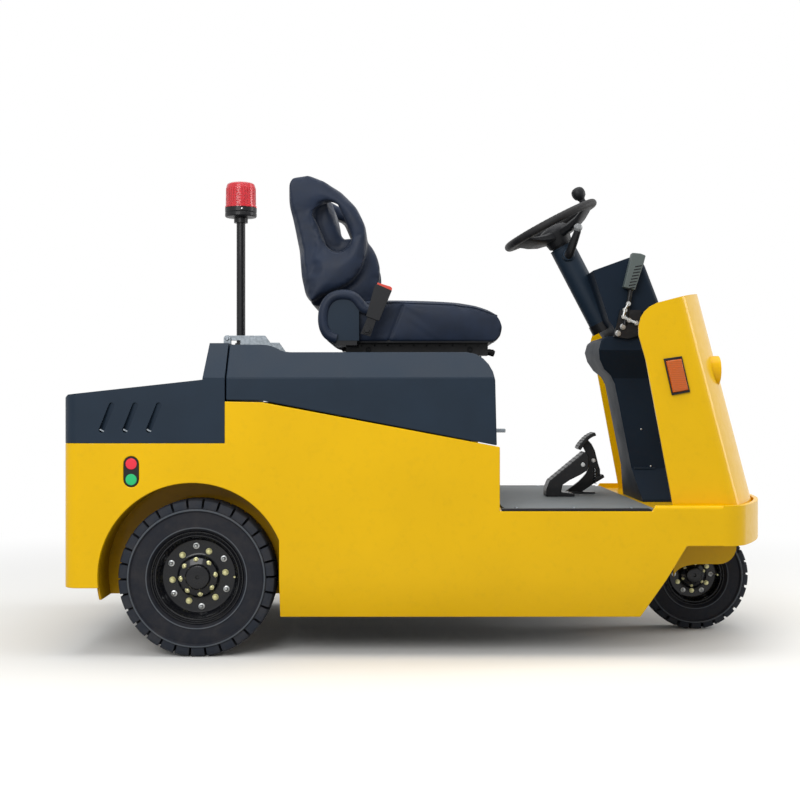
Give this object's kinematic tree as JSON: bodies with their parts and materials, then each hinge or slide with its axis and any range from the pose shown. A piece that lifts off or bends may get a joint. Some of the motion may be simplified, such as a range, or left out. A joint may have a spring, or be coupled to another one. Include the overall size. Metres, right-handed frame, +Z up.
{
  "type": "seated electric tow tractor",
  "caption": "three wheeled electric baggage tug with a driver's seat on a tilting hood, front shield, steering column and rear tow coupler",
  "frame": {"origin": "on the floor, at the middle of the bounding box", "axes": "+X points to the front of the tug, +Y to its left and +Z up"},
  "size_m": [1.99, 1, 1.373],
  "materials": {
    "yellow_paint": "gloss yellow enamel over sheet steel",
    "liner_paint": "yellow enamel, shaded and dusty",
    "cover_plastic": "textured anthracite moulded cover",
    "black_paint": "satin black enamel",
    "mat_rubber": "ribbed black floor rubber",
    "black_plastic": "fine grained black plastic",
    "lamp_amber": "clear amber lens",
    "lamp_red": "clear red lens",
    "lamp_clear": "clear lamp in a black shell",
    "zinc": "zinc plated steel",
    "cast_parts": "black coated casting",
    "battery_case": "dark grey battery tray",
    "leatherette": "soft black leatherette",
    "tyre_rubber": "lugged black tyre",
    "wheel_plastic": "soft touch black rim"
  },
  "bodies": {
    "chassis": {"side_panel_right": "yellow_paint", "side_panel_left": "yellow_paint", "rear_plate": "yellow_paint", "wheel_well_right": "liner_paint", "wheel_well_left": "liner_paint", "deck": "yellow_paint", "nose": "yellow_paint", "belly_pan": "black_paint", "steer_housing": "liner_paint", "floor_mat": "mat_rubber", "rear_cover": "cover_plastic", "shield": "yellow_paint", "headlamps": "lamp_clear", "turn_signals": "lamp_amber", "tail_lamps": "lamp_red", "column_cover": "cover_plastic", "column_tube": "cover_plastic", "dash_pod": "cover_plastic", "brake_lever": "black_plastic", "direction_lever": "black_plastic", "accelerator": "black_paint", "brake_pedal": "black_paint", "inching_switch": "black_plastic", "beacon_pole": "black_paint", "beacon": "lamp_red", "tow_coupler": "cast_parts", "rear_axle": "cast_parts", "drive_motor": "cast_parts", "battery": "battery_case", "hinge_brackets": "zinc"},
    "tow_pin": {"tow_pin": "zinc"},
    "hood": {"hood": "cover_plastic", "hinge_arms": "zinc", "hood_latch": "zinc", "seat_rails": "black_paint", "seat_cushion": "leatherette", "seat_back": "leatherette", "seat_restraints": "leatherette", "belt_buckle": "black_plastic"},
    "rear_wheel_right": {"rear_wheel_right": "black_paint", "rear_tyre_right": "tyre_rubber"},
    "rear_wheel_left": {"rear_wheel_left": "black_paint", "rear_tyre_left": "tyre_rubber"},
    "steer_fork": {"steer_fork": "cast_parts"},
    "front_wheel": {"front_wheel": "black_paint", "front_tyre": "tyre_rubber"},
    "steering_wheel": {"steering_wheel": "wheel_plastic", "spinner_knob": "wheel_plastic"}
  },
  "joints": [
    {"name": "hood_tilt", "type": "hinge", "parent": "chassis", "child": "hood", "pos_m": [-0.526, 0, 0.849], "axis": [0, -1, 0], "range_deg": [0, 55]},
    {"name": "pin_lift", "type": "slide", "parent": "chassis", "child": "tow_pin", "axis": [0, 0, 1], "range_m": [0, 0.085]},
    {"name": "rear_roll_right", "type": "hinge", "parent": "chassis", "child": "rear_wheel_right", "pos_m": [-0.575, -0.428, 0.2075], "axis": [0, 1, 0], "continuous": true},
    {"name": "rear_roll_left", "type": "hinge", "parent": "chassis", "child": "rear_wheel_left", "pos_m": [-0.575, 0.428, 0.2075], "axis": [0, 1, 0], "continuous": true},
    {"name": "steer", "type": "hinge", "parent": "chassis", "child": "steer_fork", "pos_m": [0.831, 0, 0.34], "axis": [0, 0, 1], "range_deg": [-75, 75]},
    {"name": "front_roll", "type": "hinge", "parent": "steer_fork", "child": "front_wheel", "pos_m": [0.831, 0, 0.1585], "axis": [0, 1, 0], "continuous": true},
    {"name": "helm", "type": "hinge", "parent": "chassis", "child": "steering_wheel", "pos_m": [0.409, 0, 1.1975], "axis": [-0.4618, 0, 0.887], "range_deg": [-450, 450]}
  ],
  "couplings": [
    {"joint": "helm", "follows": "steer", "ratio": 6}
  ]
}
